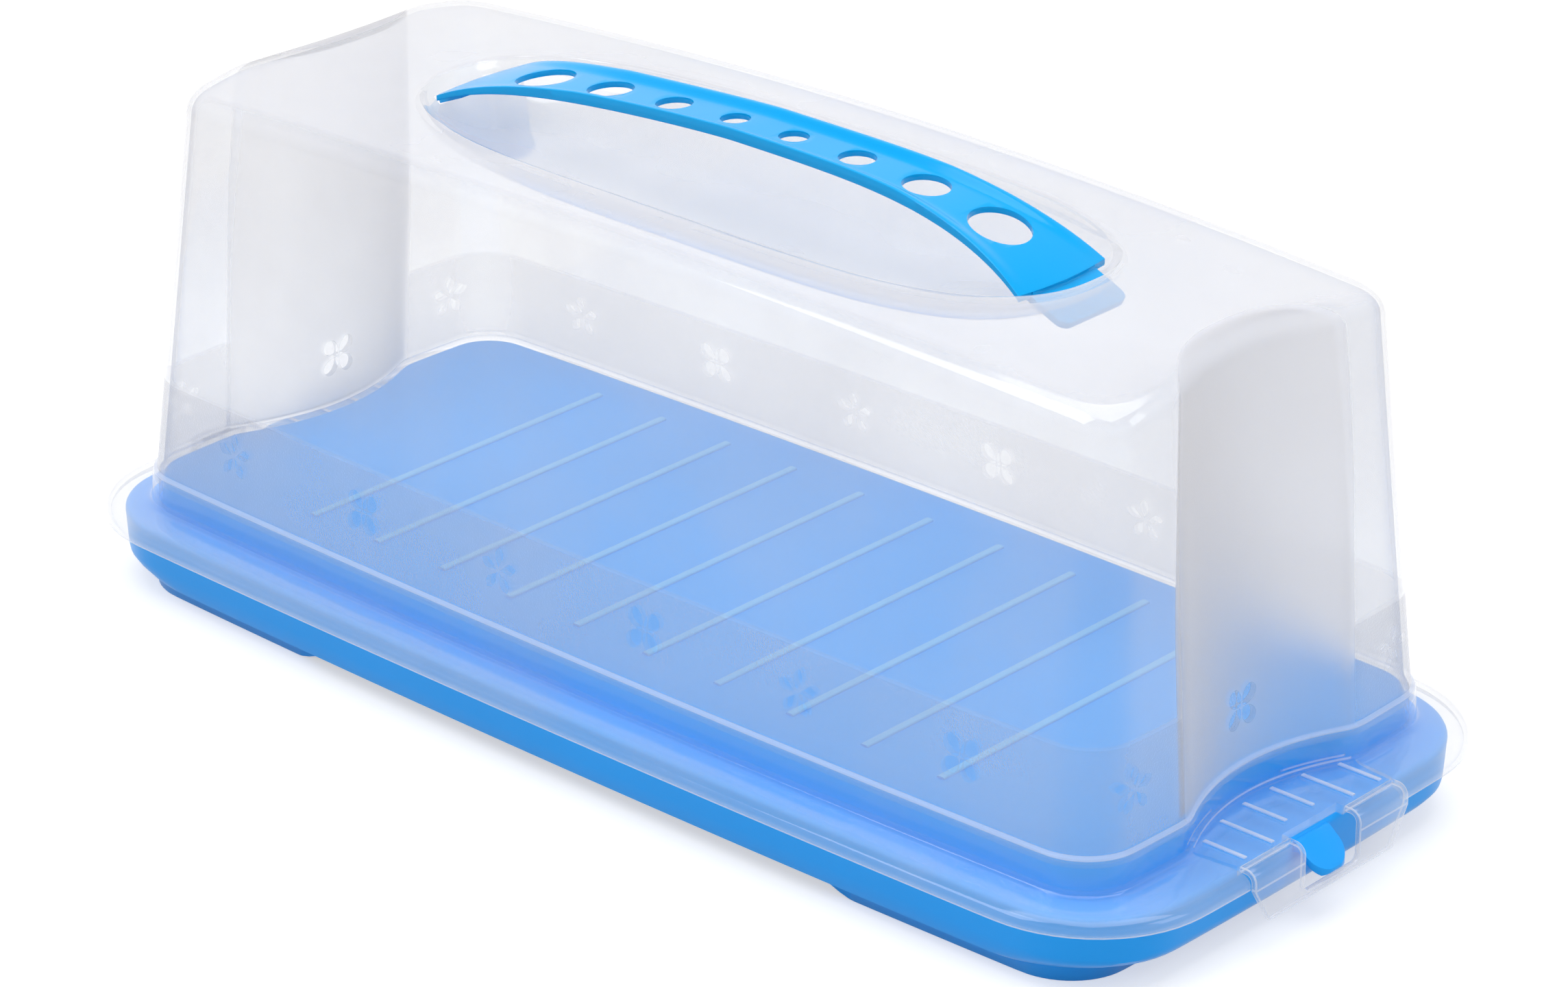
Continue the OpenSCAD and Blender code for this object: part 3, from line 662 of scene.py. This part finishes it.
def build_cover(p):
    s = p.s
    t, d, sh = s.wall, s.recess_low, s.shoulder_z
    LA, LB, WA, WB = p.LA, p.LB, p.WA, p.WB

    def lip(k, z):
        return p.flat(LA - k, LB - k, s.lip_corner - k, 0, z)

    def neck(k, z, r):
        return p.flat(WA + k, WB + k, r, d, z)

    out = [lip(*q) for q in ((0, 0), (0, 0.8), (0.05, 1.5), (0.35, 2.2), (0.9, 2.85), (1.7, 3.35),
                             (2.8, 3.72), (4.2, 3.95), (5.8, 4.05))]
    out += [neck(*q) for q in ((4.2, 4.12, 18.6), (3, 4.2, 17.6), (2.3, 4.45, 16.9), (1.9, 4.9, 16.4),
                               (1.75, 5.6, 16.2), (1.5, 8, 15.9), (1.25, 11, 15.6), (1.1, sh - 1.3, 15.4),
                               (0.95, sh - 0.8, 15.3), (0.6, sh - 0.35, 15.1), (0.2, sh - 0.05, 14.9),
                               (-0.05, sh + 0.5, 14.8))]
    ins = [lip(*q) for q in ((t, 0), (t, 0.7), (t + 0.25, 1.2), (t + 0.9, 1.8), (t + 2, 2.25), (t + 4, 2.48))]
    ins += [neck(*q) for q in ((2.4, 2.55, 17), (0.8, 2.7, 15.5), (0.1, 3.3, 14.6), (-0.2, 5, 14.2),
                               (-0.5, sh - 1.9, 13.8), (-0.8, sh - 1.2, 13.6), (-1.4, sh - 0.7, 13.3),
                               (-1.65, sh - 0.1, 13.2))]
    for rings, o in ((out, 0), (ins, t)):
        top = cover_rings(p, o)
        foot = rings[-1]
        rings += [foot + (top[0] - foot) * f for f in (0.15, 0.3, 0.5, 0.7, 0.85)] + top
    mid = s.cover_height - s.hollow_depth + s.lip_z
    return skin("cover", ins[::-1] + out, (0, 0, mid - t), (0, 0, mid))


def plate_outline(p):
    s = p.s
    y = np.linspace(-1, 1, 25)
    inner = np.c_[p.WA + 0.9 - s.recess_low * (1 - y ** 2), 0.94 * s.recess_half * y]
    side = [(p.fold_x - 8, s.latch_half + 1.1), (p.fold_x, s.latch_half + 0.3)]
    return np.vstack([inner, side, [(x, -y) for x, y in side[::-1]]])[::-1]


def latch_profile(p):
    """Section of the latch: over the bend and down to its lower edge, as (x, z)."""
    s = p.s
    t, b, xo, x0, low = s.wall, s.bend_r, p.skirt_x, p.fold_x + s.latch_gap, -s.latch_low
    arc = np.radians(np.linspace(0, 90, 13))
    outer = [(xo - b + b * math.sin(a), s.plate_z - b + b * math.cos(a)) for a in arc]
    inner = [(xo - b + (b - t) * math.sin(a), s.plate_z - b + (b - t) * math.cos(a)) for a in arc[::-1]]
    edge = [(xo + 0.2, low + 0.5), (xo - 0.3, low), (xo - t + 0.2, low)]
    return [(x0, s.plate_z)] + outer + edge + inner + [(x0, s.plate_z - t)]


def build_latch(p, half):
    s = p.s
    lz = s.lip_z
    profile = [(x, z + lz) for x, z in latch_profile(p)]
    flap = prism("flap", profile, -s.latch_half, s.latch_half, 1)
    cuts = []
    near, top, low = s.latch_half - s.latch_taper, -0.5, -s.latch_low - 0.01
    for side in (-1, 1):
        shape = [(s.latch_half + 0.01, top), (near, low), (near, low - PAST),
                 (s.latch_half + PAST, low - PAST), (s.latch_half + PAST, top)]
        cuts.append(prism("cut", [(side * y, z + lz) for y, z in shape], p.fold_x - PAST, p.fold_x + PAST, 0))
    w, low, r = s.window_half, -s.window_low, 2.0
    arc = np.radians(np.linspace(0, 90, 7))
    corner = [(-w + r - r * math.cos(a), low + r - r * math.sin(a)) for a in arc]
    shape = [(-w, 9)] + corner + [(-y, z) for y, z in corner[::-1]] + [(w, 9)]
    cuts.append(prism("cut", [(y, z + lz) for y, z in shape], p.fold_x - PAST, p.fold_x + PAST, 0))
    combine(flap, cuts, "DIFFERENCE")
    # The marked bevel faces get the cover's painted highlight
    rounded(flap, 0.4, 35, mark=True)
    soften(flap, 35)
    return turned(flap, half)


def strap_section(p, x):
    s = p.s
    w = s.strap_width / 2 + (s.strap_end_width - s.strap_width) / 2 * (abs(x) / p.HL) ** 3
    fade = min(1, max(0.02, (p.HL - abs(x)) / s.rim_fade))
    h, t = s.strap_rim * fade, s.strap_t
    half = [(w / 2, 0), (w - 4.8, 0), (w - 4.1, 0.07 * h), (w - 3.3, 0.28 * h), (w - 2.5, 0.6 * h),
            (w - 1.8, 0.87 * h), (w - 1.2, 0.98 * h), (w - 0.6, h), (w - 0.15, h - 0.1 * fade),
            (w, h - 0.35 * fade), (w, -t + 0.3), (w - 0.3, -t), (w / 2, -t)]
    full = [(0, 0)] + half + [(0, -t)] + [(-y, z) for y, z in half[::-1]]
    return np.array(full[::-1])


def build_strap(p):
    s = p.s
    stations = np.r_[-p.HL, 0.995 * p.HL * np.sin(np.linspace(-math.pi / 2, math.pi / 2, 121)), p.HL]
    rings = []
    for x in stations:
        q = strap_section(p, x)
        back = x * (1 - s.strap_bulge / p.HL * (q[:, 0] * 2 / s.strap_end_width) ** 2 * (abs(x) / p.HL) ** 6)
        rings.append(np.c_[back, q[:, 0], q[:, 1] + p.strap_z(x) + s.lip_z])
    first, last = ((x, 0, p.strap_z(x) - s.strap_t / 2 + s.lip_z) for x in (-p.HL, p.HL))
    strap = skin("carry_handle", rings, first, last)
    fix_normals(strap)
    return strap


def sloped(obj, p, half):
    """Moves a piece made at the origin to an end of the strap, sloping down outward like its foot."""
    low = p.s.lip_z + p.foot_z + half * p.s.end_lift
    obj.data.transform(Matrix.Translation(Vector((p.HL, 0, low)) * MM) @ Matrix.Rotation(FOOT_SLOPE, 4, "Y"))
    return turned(obj, half)


def build_foot(p, half):
    """The sloping foot at one end, and the root that joins it to the strap."""
    s = p.s
    w, r = s.foot_half, 3.0
    l = (s.short_reach if half else s.foot_reach) / math.cos(FOOT_SLOPE)
    arc = np.radians(np.linspace(0, 90, 9))
    tip = [(l - r + r * math.sin(a), -w + r - r * math.cos(a)) for a in arc]
    outline = [(-6.5, -w)] + tip + [(x, -y) for x, y in tip[::-1]] + [(-6.5, w)]
    plate = sloped(prism("foot", outline, FOOT_IN - s.foot_t, FOOT_IN), p, half)
    root = [(-6.2, 1.2), (-0.7, -1.1), (-0.7, 1.4), (-6.2, 3.4)]
    low = s.lip_z + p.foot_z + half * s.end_lift
    bar = prism("root", [(x + p.HL, z + low) for x, z in root], 0.5 - w, w - 0.5, 1)
    return [plate, turned(bar, half)]


def build_handle(p):
    s = p.s
    strap = build_strap(p)
    combine(strap, build_foot(p, 0) + build_foot(p, 1), "UNION")
    cuts = []
    for x, d in HOLES:
        for side in (-1, 1):
            a = np.linspace(0, 2 * math.pi, 64, endpoint=False)
            ring = np.c_[s.hole_shift + side * x + d / 2 * np.cos(a), d / 2 * np.sin(a)]
            cuts.append(prism("hole", ring, s.lip_z + p.foot_z + 1, s.lip_z + p.strap_top + 9))
    combine(strap, cuts, "DIFFERENCE")
    rounded(strap, 0.3)
    soften(strap, 35)
    return strap


def handle_slits(p):
    """What is cut out of the cover for the handle's two feet."""
    s = p.s
    g, w = s.foot_gap, s.foot_half + s.foot_gap
    z = (FOOT_IN - s.foot_t - g, FOOT_IN + g)
    return [sloped(block("slit", (-3, reach + 4), (-w, w), z), p, half)
            for half, reach in enumerate((s.foot_reach, s.short_reach))]


def build_tray(p):
    s = p.s
    BA, BB, WA, WB, e, d = p.BA, p.BB, p.WA, p.WB, s.end_lean, s.recess_low - 0.6
    low, fh, fz, lz = -s.lip_z, s.foot_h, s.floor_z, s.ledge_z

    def rim(k, lean, z, r):
        return p.flat(BA - k - e * lean, BB - k, r, 0, z)

    def well(k, z, r):
        return p.flat(WA - k, WB - k, r, d, z)

    up = [rim(*q) for q in ((5.7, 1, low, 17.2), (5.4, 1, low + 0.4, 17.5), (5, 1, low + fh - 0.5, 17.9),
                            (4.7, 1, low + fh - 0.1, 18.2), (4.2, 1, low + fh, 20), (3, 1, low + fh, 26),
                            (2.3, 0.96, low + fh + 0.1, 28), (1.8, 0.8, low + fh + 0.4, 29),
                            (1.55, 0.42, low + fh + 1.2, 29.4), (1.1, 0.12, low + fh + 2.9, 28),
                            (0.8, 0, low + s.turn_h, 26.8), (0.6, 0, low + s.turn_h + 1.2, 26.9),
                            (0.1, 0, -0.6, 27.5), (0, 0, 0.5, 27.6), (0.05, 0, 1.1, 27.5),
                            (0.35, 0, 1.65, 27.2), (0.85, 0, 2, 26.8), (1.5, 0, lz, 26.2))]
    up += [well(*q) for q in ((-0.4, lz, 13.6), (0.4, lz + 0.1, 13.3), (0.9, lz + 0.4, 13),
                              (1.15, lz + 1, 12.9), (1.4, lz + 4, 12.7), (1.7, fz - 1.6, 12.6),
                              (1.85, fz - 1, 12.5), (2.15, fz - 0.45, 12.2), (2.6, fz - 0.12, 11.9),
                              (3.2, fz, 11.5))]
    down = [rim(*q) for q in ((7, 1, low, 16), (6.6, 1, low + fh + 1.5, 16.4), (3, 0.4, low + fh + 2.7, 27.6),
                              (2.3, 0, low + s.turn_h + 0.8, 25.2), (1.8, 0, 0.1, 25.8))]
    down += [well(*q) for q in ((3, 0.1, 11.6), (3.8, fz - 2, 11))]
    floor_rings = [up[-1] * (f, f, 1) for f in (0.9, 0.7, 0.5, 0.3)]
    under = [down[-1] * (f, f, 1) for f in (0.7, 0.4)]
    tray = skin("tray", under[::-1] + down[::-1] + up + floor_rings,
                (0, 0, fz - 2 + s.lip_z), (0, 0, fz + s.lip_z))
    h, foot, spring, steps = s.arch_half, 8, 1.2, 24
    arch = [(-h - foot, -1), (-h, spring)]
    for i in range(steps + 1):
        rise = (fh - spring - 0.2) * math.sin(i / steps * math.pi / 2)
        arch.append((-h + 12 * i / steps, spring + rise))
    arch += [(-x, z) for x, z in arch[::-1]]
    cutter = prism("arch", arch[::-1], -p.LB - PAST, p.LB + PAST, 1)
    combine(tray, [cutter], "DIFFERENCE")
    tongues = [build_tongue(p, half) for half in (0, 1)]
    combine(tray, tongues, "UNION")
    soften(tray, 32)
    return tray


def build_tongue(p, half):
    s = p.s
    o, h, t = s.tongue_out, s.tongue_half, 2.0
    lz = s.lip_z
    side = [(-1.6, 1.1), (0, 1.5), (0.7, 1.4), (1.3, 1.0), (o - 0.25, -4.9), (o - 0.1, -5.4),
            (o - 0.25, -5.9), (o - 0.7, -6.2), (o - 1.3, -6.25), (1.6, 0.9 - t), (-1.6, 0.2 - t)]
    tongue = prism("tongue", [(x + p.BA, z + lz) for x, z in side], -h, h, 1)
    tip = []
    for i in range(25):
        a = math.pi * i / 24 - math.pi / 2
        tip.append((p.BA + 4 + (o - 4) * math.cos(a), h * math.sin(a)))
    outline = [(p.BA - 4, -h)] + tip + [(p.BA - 4, h)]
    mask = prism("mask", outline, lz - 12, lz + 8)
    combine(tongue, [mask], "INTERSECT")
    rounded(tongue, 0.4)
    return turned(tongue, half)


def rib_tree():
    """Geometry nodes: a row of like ribs across a floor, each a half-round bar."""
    tree = bpy.data.node_groups.new("rib_row", "GeometryNodeTree")
    face = tree.interface
    face.new_socket("Geometry", in_out="INPUT", socket_type="NodeSocketGeometry")
    for name, kind, value in (("Count", "NodeSocketInt", 10), ("Pitch", "NodeSocketFloat", 0.025),
                              ("Length", "NodeSocketFloat", 0.112), ("Width", "NodeSocketFloat", 0.0024),
                              ("Thickness", "NodeSocketFloat", 0.001), ("Height", "NodeSocketFloat", 0.03),
                              ("Material", "NodeSocketMaterial", None)):
        item = face.new_socket(name, in_out="INPUT", socket_type=kind)
        if value is not None:
            item.default_value = value
    face.new_socket("Geometry", in_out="OUTPUT", socket_type="NodeSocketGeometry")
    nodes, links = tree.nodes, tree.links
    gin, gout = nodes.new("NodeGroupInput"), nodes.new("NodeGroupOutput")

    def add(kind, **values):
        n = nodes.new(kind)
        for k, v in values.items():
            setattr(n, k, v)
        return n

    def filled(n, *values):
        for socket, v in zip(n.inputs, values):
            if isinstance(v, bpy.types.NodeSocket):
                links.new(v, socket)
            else:
                socket.default_value = v
        return n.outputs[0]

    def calc(op, a, b):
        return filled(add("ShaderNodeMath", operation=op), a, b)

    def vector(x=0.0, y=0.0, z=0.0):
        return filled(add("ShaderNodeCombineXYZ"), x, y, z)

    half = calc("MULTIPLY", gin.outputs["Length"], 0.5)
    bar = add("GeometryNodeCurvePrimitiveLine")
    links.new(vector(y=calc("MULTIPLY", half, -1.0)), bar.inputs["Start"])
    links.new(vector(y=half), bar.inputs["End"])
    ring = add("GeometryNodeCurvePrimitiveQuadrilateral")
    links.new(gin.outputs["Width"], ring.inputs["Width"])
    links.new(gin.outputs["Thickness"], ring.inputs["Height"])
    round_off = add("GeometryNodeFilletCurve", mode="POLY")
    links.new(ring.outputs[0], round_off.inputs["Curve"])
    round_off.inputs["Count"].default_value = 4
    links.new(calc("MULTIPLY", gin.outputs["Thickness"], 0.48), round_off.inputs["Radius"])
    sweep = add("GeometryNodeCurveToMesh")
    links.new(bar.outputs[0], sweep.inputs["Curve"])
    links.new(round_off.outputs[0], sweep.inputs["Profile Curve"])
    sweep.inputs["Fill Caps"].default_value = True
    row = add("GeometryNodeMeshLine")
    links.new(gin.outputs["Count"], row.inputs["Count"])
    span = calc("MULTIPLY", gin.outputs["Pitch"], calc("SUBTRACT", gin.outputs["Count"], 1.0))
    links.new(vector(x=calc("MULTIPLY", span, -0.5), z=gin.outputs["Height"]), row.inputs["Start Location"])
    links.new(vector(x=gin.outputs["Pitch"]), row.inputs["Offset"])
    place = add("GeometryNodeInstanceOnPoints")
    links.new(row.outputs[0], place.inputs["Points"])
    links.new(sweep.outputs[0], place.inputs["Instance"])
    real = add("GeometryNodeRealizeInstances")
    links.new(place.outputs[0], real.inputs[0])
    paint = add("GeometryNodeSetMaterial")
    links.new(real.outputs[0], paint.inputs[0])
    links.new(gin.outputs["Material"], paint.inputs["Material"])
    links.new(paint.outputs[0], gout.inputs[0])
    return tree


def grow(name, tree, values):
    """A plain mesh made by a node tree from named inputs."""
    holder = bpy.data.objects.new(name, bpy.data.meshes.new(name))
    bpy.context.scene.collection.objects.link(holder)
    mod = holder.modifiers.new("Nodes", "NODES")
    mod.node_group = tree
    sockets = [i for i in tree.interface.items_tree if i.item_type == "SOCKET" and i.in_out == "INPUT"]
    ids = {i.name: i.identifier for i in sockets}
    for key, value in values.items():
        mod[ids[key]] = value
    apply_modifiers(holder)
    return holder


# ---------------------------------------------------------------- operators

def latch_plates(p):
    """What the latch plates add to the cover, and the slots and windows cut out of it."""
    s = p.s
    lz, gap = s.lip_z, s.latch_half + s.latch_gap
    top = lz + s.plate_z
    adds, cuts = [], []
    for half in (0, 1):
        adds.append(turned(prism("plate", plate_outline(p), lz + 3.1, top), half))
        for side in (-1, 1):
            for y, start, end in LATCH_RIBS:
                width = (side * y - 0.6, side * y + 0.6)
                rib = block("rib", (p.WA + start, p.fold_x - end), width, (top - 0.3, top + 0.7))
                adds.append(turned(rib, half))
        slot = block("slot", (p.fold_x, p.LA + PAST), (-gap, gap), (lz - PAST, lz + 11))
        cuts.append(turned(slot, half))
        window = block("window", (p.fold_x - s.window_in, p.fold_x + PAST), (-s.window_half, s.window_half),
                       (lz - PAST, lz + PAST))
        cuts.append(turned(window, half))
    return adds, cuts


class CARRIER_OT_cover(bpy.types.Operator):
    """Builds the translucent cover with its latch plates and slots"""

    bl_idname = "carrier.cover"
    bl_label = "Cover"

    def execute(self, context):
        s, looks = context.scene.carrier_sizes, context.scene.carrier_looks
        p = Plan(s)
        material = cover_material(s, looks)
        cover = build_cover(p)
        fix_normals(cover)
        adds, cuts = latch_plates(p)
        combine(cover, adds, "UNION")
        combine(cover, cuts + handle_slits(p), "DIFFERENCE")
        soften(cover, 35)
        finish_piece(cover, "cover", material, "cover_shell")
        for half, side in ((0, "right"), (1, "left")):
            flap = build_latch(p, half)
            flap.name = f"latch_flap_{side}"
            finish_piece(flap, f"{side}_latch", material, f"latch_{side}")
        return {"FINISHED"}


class CARRIER_OT_handle(bpy.types.Operator):
    """Builds the bowed handle with its holes and feet"""

    bl_idname = "carrier.handle"
    bl_label = "Handle"

    def execute(self, context):
        s, looks = context.scene.carrier_sizes, context.scene.carrier_looks
        material = blue_material("handle_plastic_look", looks.handle, 0.16)
        finish_piece(build_handle(Plan(s)), "cover", material, "handle")
        return {"FINISHED"}


class CARRIER_OT_tray(bpy.types.Operator):
    """Builds the blue tray, its tongues and the ribs of its floor"""

    bl_idname = "carrier.tray"
    bl_label = "Tray"

    def execute(self, context):
        s, looks = context.scene.carrier_sizes, context.scene.carrier_looks
        p = Plan(s)
        material = blue_material("tray_plastic_look", looks.tray, 0.3)
        finish_piece(build_tray(p), "tray", material, "base_tray")
        # The ribs' lighter blue is a painted highlight
        material = blue_material("floor_rib_painted_light", looks.rib, 0.35)
        ribs = grow("floor_ribs", rib_tree(), {
            "Count": s.rib_count, "Pitch": s.rib_pitch * MM, "Length": s.rib_length * MM,
            "Width": s.rib_w * MM, "Thickness": s.rib_t * MM,
            "Height": (s.lip_z + s.floor_z + s.rib_z) * MM, "Material": material})
        soften(ribs, 40)
        finish_piece(ribs, "tray", material)
        return {"FINISHED"}


class CARRIER_OT_stage(bpy.types.Operator):
    """Sets the pale floor, the soft lamps, the world and the camera"""

    bl_idname = "carrier.stage"
    bl_label = "Stage"

    def execute(self, context):
        scene = context.scene
        looks = scene.carrier_looks
        scene.view_settings.view_transform = "Standard"
        far = 6000
        corners = [(-far, -far, 0), (far, -far, 0), (far, far, 0), (-far, far, 0)]
        floor = mesh_object("studio_floor", corners, [(0, 1, 2, 3)])
        floor.data.materials.append(floor_material(looks))
        scene.world = studio_world()
        aim = Vector((0, 0, 0.1))
        for name, spot, width, power in (
                ("key", (-0.5, -0.9, 1.5), 0.9, 8), ("fill", (1.3, 0.4, 1.1), 0.7, 3),
                ("top", (0, 0.1, 1.7), 1.5, 16)):
            lamp = bpy.data.lights.new(name, "AREA")
            lamp.size, lamp.energy = width, power
            obj = bpy.data.objects.new(name, lamp)
            scene.collection.objects.link(obj)
            obj.location = spot
            obj.rotation_euler = (aim - Vector(spot)).to_track_quat("-Z", "Y").to_euler()
        set_camera(scene)
        return {"FINISHED"}


def set_camera(scene):
    """Places the camera as fitted to the photograph's edges."""
    azimuth, elevation, roll = (math.radians(a) for a in (42.15, 24.675, 0.281))
    focal_px = 7419.6
    place = Vector((0.8246, -0.9004, 0.5961 + scene.carrier_sizes.lip_z * MM))
    level = math.cos(elevation)
    back = Vector((math.sin(azimuth) * level, -math.cos(azimuth) * level, math.sin(elevation)))
    right = Vector((math.cos(azimuth), math.sin(azimuth), 0))
    up = back.cross(right)
    r2 = right * math.cos(roll) + up * math.sin(roll)
    u2 = up * math.cos(roll) - right * math.sin(roll)
    data = bpy.data.cameras.new("photo_camera")
    data.sensor_width, data.lens = 36, 36 * focal_px / IMAGE_SIZE[0]
    data.clip_end = 50
    camera = bpy.data.objects.new("photo_camera", data)
    scene.collection.objects.link(camera)
    camera.matrix_world = Matrix.Translation(place) @ Matrix((r2, u2, back)).transposed().to_4x4()
    scene.camera = camera


class CARRIER_PT_panel(bpy.types.Panel):
    """Lists the pieces of the carrier"""

    bl_label = "Cake Carrier"
    bl_idname = "CARRIER_PT_panel"
    bl_space_type = "VIEW_3D"
    bl_region_type = "UI"
    bl_category = "Carrier"

    def draw(self, context):
        for name in ORDER:
            self.layout.operator(f"carrier.{name}")
        for group in (context.scene.carrier_sizes, context.scene.carrier_looks):
            for key in group.__annotations__:
                self.layout.prop(group, key)


ORDER = ("tray", "cover", "handle", "stage")
CLASSES = (CarrierSizes, CarrierLooks, CARRIER_OT_cover, CARRIER_OT_handle, CARRIER_OT_tray,
           CARRIER_OT_stage, CARRIER_PT_panel)


def register():
    for cls in CLASSES:
        bpy.utils.register_class(cls)
    bpy.types.Scene.carrier_sizes = bpy.props.PointerProperty(type=CarrierSizes)
    bpy.types.Scene.carrier_looks = bpy.props.PointerProperty(type=CarrierLooks)


def unregister():
    del bpy.types.Scene.carrier_looks
    del bpy.types.Scene.carrier_sizes
    for cls in reversed(CLASSES):
        bpy.utils.unregister_class(cls)


def main():
    register()
    for name in ORDER:
        getattr(bpy.ops.carrier, name)()


if __name__ == "__main__":
    main()
